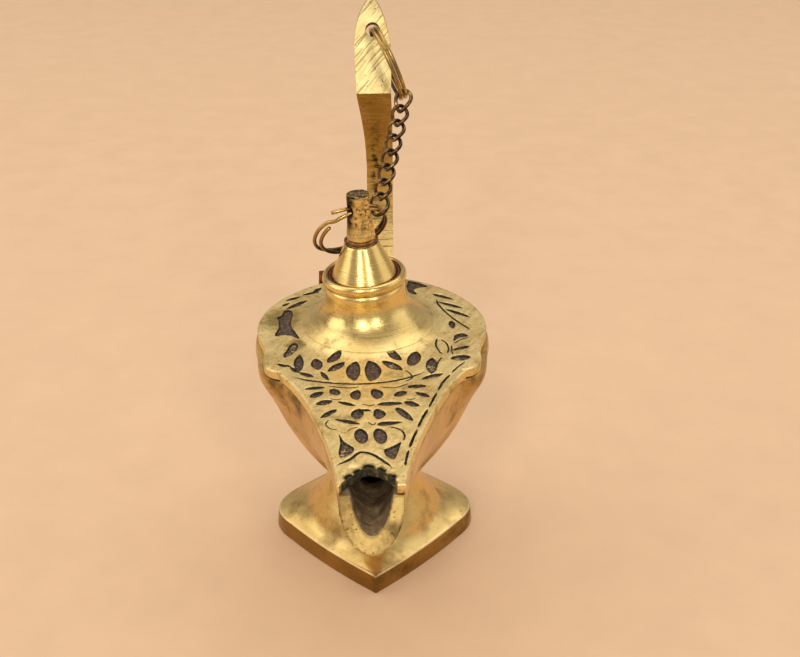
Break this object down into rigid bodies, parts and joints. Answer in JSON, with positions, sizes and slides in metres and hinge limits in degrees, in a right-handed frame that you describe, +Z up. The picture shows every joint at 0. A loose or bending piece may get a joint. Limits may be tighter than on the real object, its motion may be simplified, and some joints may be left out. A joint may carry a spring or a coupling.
{
  "type": "footed brass oil lamp with chained lid",
  "caption": "Footed brass oil lamp with a lobed bowl, open spout, engraved deck, flared neck, conical lid held by a chain, and a strap handle.",
  "frame": {"origin": "middle of the pedestal's flat underside, on the axis of the stem", "axes": "+Z up the stem, -Y along the spout, +Y towards the handle, +X across"},
  "size_m": [0.0748, 0.1418, 0.1768],
  "materials": {
    "cast_brass": "cast and hand-smoothed, amber, satin",
    "ground_brass": "filed and brushed, pale yellow",
    "turned_brass": "turned on a lathe and polished, satin",
    "antique_brass": "antique wire, polished on top and dark in the gaps",
    "dark_bronze": "blackened, worn brassy on the high spots",
    "solder": "dark red-brown, rough",
    "residue": "dark red-brown crust, matt",
    "steel": "plain",
    "fibre": "matt"
  },
  "bodies": {
    "lamp": {"pedestal": "cast_brass", "bowl": "cast_brass", "base_screw": "steel", "base_washer": "fibre", "deck_plate": "ground_brass", "neck": "turned_brass", "collar_residue": "residue", "handle_strap": "ground_brass", "root_scroll": "dark_bronze"},
    "lid": {"lid_cone": "turned_brass", "lid_pin": "turned_brass", "pin_solder_ring": "solder"},
    "lid_ring": {"lid_split_ring": "antique_brass"},
    "handle_ring": {"handle_split_ring": "antique_brass"},
    "link_1": {"chain_link_1": "dark_bronze"},
    "link_2": {"chain_link_2": "dark_bronze"},
    "link_3": {"chain_link_3": "dark_bronze"},
    "link_4": {"chain_link_4": "dark_bronze"},
    "link_5": {"chain_link_5": "dark_bronze"},
    "link_6": {"chain_link_6": "dark_bronze"},
    "link_7": {"chain_link_7": "dark_bronze"},
    "link_8": {"chain_link_8": "dark_bronze"}
  },
  "joints": [
    {"name": "lid_lift", "type": "slide", "parent": "lamp", "child": "lid", "axis": [-0.061, 0, 0.9981], "range_m": [0, 0.006]},
    {"name": "lid_ring_swing", "type": "hinge", "parent": "lid", "child": "lid_ring", "pos_m": [-0.00364, 0, 0.12293], "axis": [0.9009, 0.4305, 0.0551], "range_deg": [-3.15, 0]},
    {"name": "handle_ring_swing", "type": "hinge", "parent": "lamp", "child": "handle_ring", "pos_m": [0.0014, 0.034, 0.1688], "axis": [0.9135, 0.1841, 0.3627], "range_deg": [0, 3.35]},
    {"name": "link_1_turn", "type": "hinge", "parent": "handle_ring", "child": "link_1", "pos_m": [0.01107, 0.02496, 0.15072], "axis": [-0.9192, 0.3937, 0], "range_deg": [-19.45, 0]},
    {"name": "link_2_turn", "type": "hinge", "parent": "link_1", "child": "link_2", "pos_m": [0.00999, 0.02243, 0.14698], "axis": [-0.9192, 0.3937, 0], "range_deg": [-6.55, 0]},
    {"name": "link_3_turn", "type": "hinge", "parent": "link_2", "child": "link_3", "pos_m": [0.00887, 0.01981, 0.14311], "axis": [-0.9192, 0.3937, 0], "range_deg": [0, 16.15]},
    {"name": "link_4_turn", "type": "hinge", "parent": "link_3", "child": "link_4", "pos_m": [0.00775, 0.01719, 0.13925], "axis": [-0.9192, 0.3937, 0], "range_deg": [0, 19.45]},
    {"name": "link_5_turn", "type": "hinge", "parent": "link_4", "child": "link_5", "pos_m": [0.00663, 0.01458, 0.13538], "axis": [-0.9192, 0.3937, 0], "range_deg": [0, 20.15]},
    {"name": "link_6_turn", "type": "hinge", "parent": "link_5", "child": "link_6", "pos_m": [0.00551, 0.01196, 0.13151], "axis": [-0.9192, 0.3937, 0], "range_deg": [0, 13.45]},
    {"name": "link_7_turn", "type": "hinge", "parent": "link_6", "child": "link_7", "pos_m": [0.00439, 0.00935, 0.12765], "axis": [-0.9192, 0.3937, 0], "range_deg": [0, 3.05]},
    {"name": "link_8_turn", "type": "hinge", "parent": "link_7", "child": "link_8", "pos_m": [0.00327, 0.00673, 0.12378], "axis": [-0.9192, 0.3937, 0], "range_deg": [-28.65, 0]}
  ],
  "couplings": [
    {"joint": "lid_ring_swing", "follows": "lid_lift", "rad_per_m": -9.0175},
    {"joint": "handle_ring_swing", "follows": "lid_lift", "rad_per_m": 9.5993},
    {"joint": "link_1_turn", "follows": "lid_lift", "rad_per_m": -56.432},
    {"joint": "link_2_turn", "follows": "lid_lift", "rad_per_m": -18.908},
    {"joint": "link_3_turn", "follows": "lid_lift", "rad_per_m": 46.833},
    {"joint": "link_4_turn", "follows": "lid_lift", "rad_per_m": 56.432},
    {"joint": "link_5_turn", "follows": "lid_lift", "rad_per_m": 58.468},
    {"joint": "link_6_turn", "follows": "lid_lift", "rad_per_m": 38.979},
    {"joint": "link_7_turn", "follows": "lid_lift", "rad_per_m": 8.7266},
    {"joint": "link_8_turn", "follows": "lid_lift", "rad_per_m": -83.194}
  ]
}
